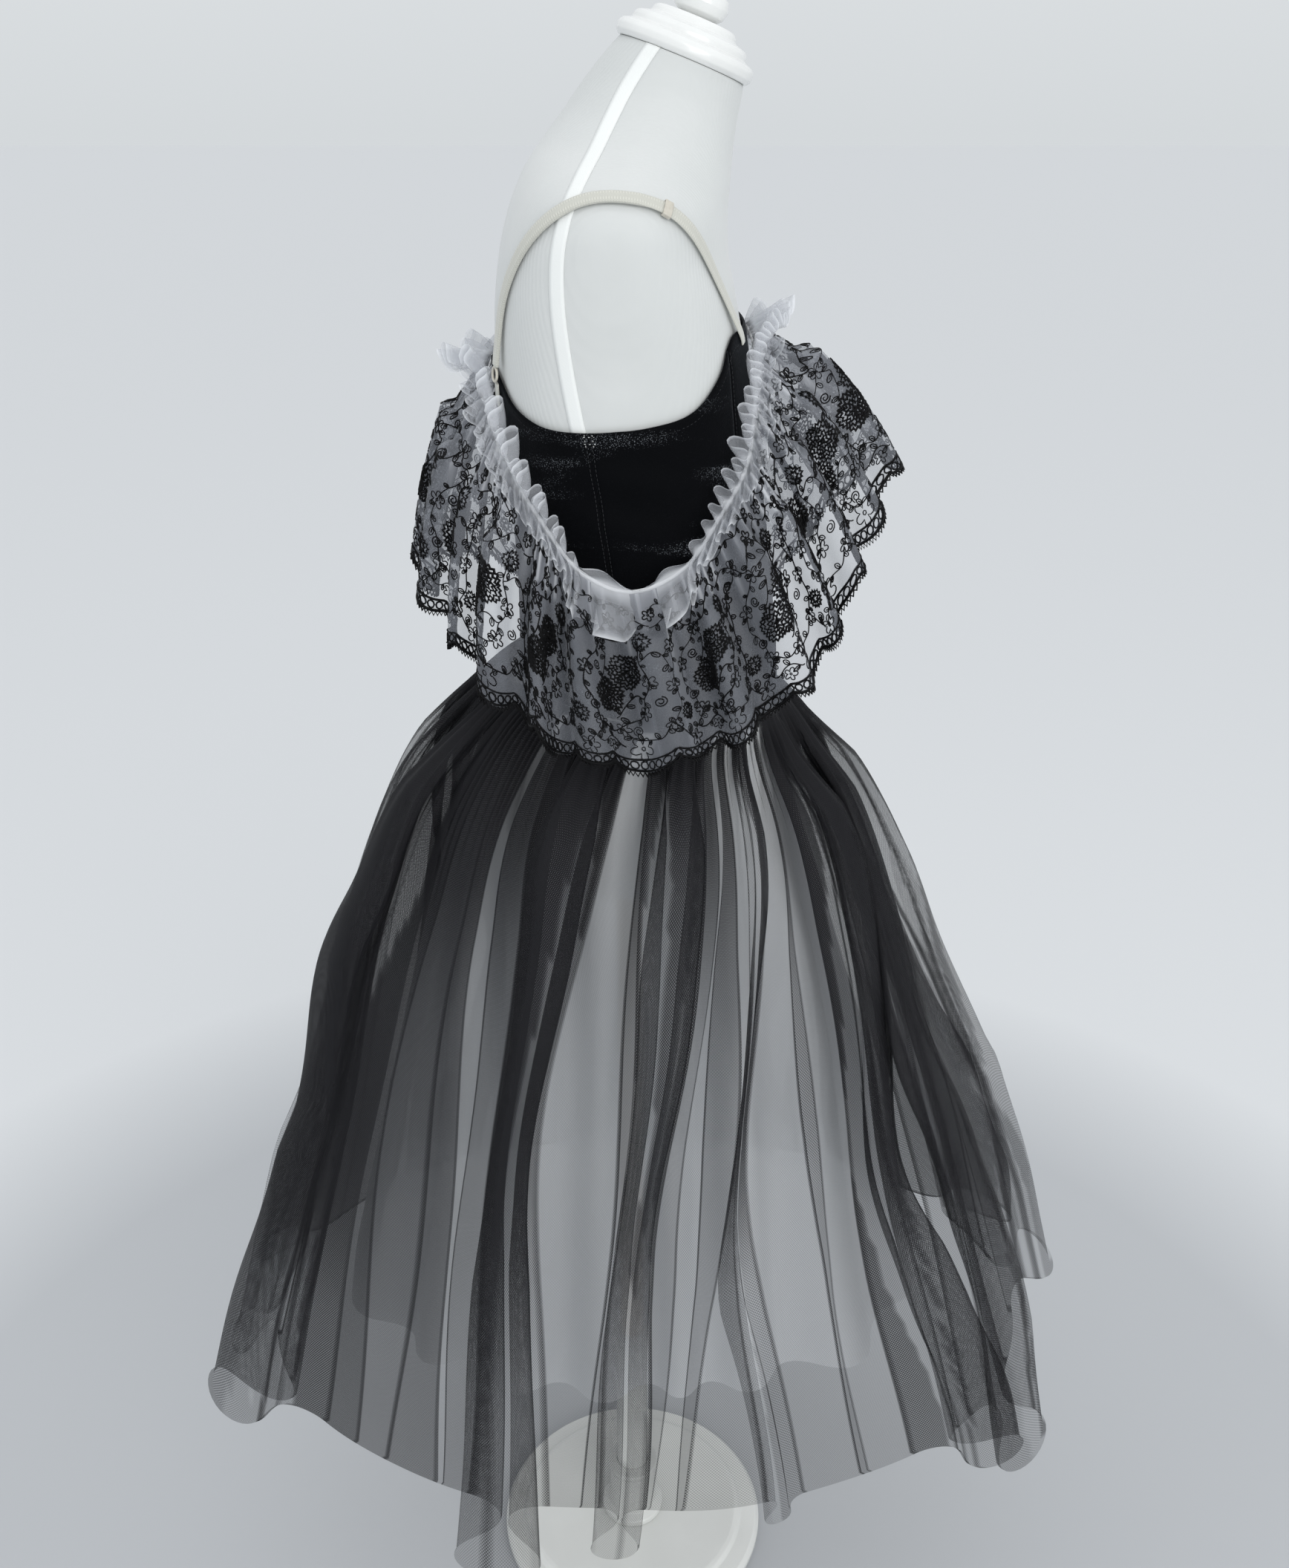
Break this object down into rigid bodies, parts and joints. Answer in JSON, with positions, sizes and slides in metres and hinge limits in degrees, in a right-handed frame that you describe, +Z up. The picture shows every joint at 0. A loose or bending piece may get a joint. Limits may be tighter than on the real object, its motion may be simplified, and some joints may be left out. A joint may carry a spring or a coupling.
{
  "type": "child's romantic ballet tutu on a limbless dress form",
  "caption": "Long ballet tutu with velvet bodice, off-shoulder lace ruffle and sheer gathered tulle skirt, worn by a limbless dress form on a pole and round base.",
  "frame": {"origin": "centre of the round base's underside, on the floor under the pole", "axes": "+Z up along the pole, the garment's front faces -Y, the wearer's right side is -X"},
  "size_m": [0.5611, 0.7671, 1.3808],
  "materials": {
    "jersey": "white knitted jersey cover with a woven tape down each side seam",
    "cap_lacquer": "white high-gloss lacquer",
    "stand_paint": "white gloss paint",
    "pole_wood": "tan satin",
    "velvet": "black stretch velvet with a short nap",
    "elastic": "cream ribbed elastic",
    "fittings": "cream coated wire, glossy",
    "organza": "sheer white organza",
    "lace": "sheer white organza with black embroidery",
    "tulle": "sheer black tulle net",
    "sheer": "sheer white underskirt net"
  },
  "bodies": {
    "root": {"form_torso": "jersey", "form_neck_cap": "cap_lacquer", "form_finial": "cap_lacquer", "form_base": "stand_paint", "form_foot_ring": "stand_paint", "form_lower_pole": "stand_paint", "form_clamp": "stand_paint", "form_upper_pole": "pole_wood", "bodice_front": "velvet", "bodice_side_right": "velvet", "bodice_side_left": "velvet", "bodice_back": "velvet", "elastic_right": "elastic", "elastic_left": "elastic", "strap_right": "elastic", "strap_left": "elastic", "tab_right": "elastic", "tab_left": "elastic", "slider_right": "fittings", "slider_left": "fittings", "ring_right": "fittings", "ring_left": "fittings", "frill_right": "organza", "frill_left": "organza", "flounce_right": "lace", "flounce_left": "lace", "skirt": "tulle", "underskirt": "sheer"}
  },
  "joints": []
}
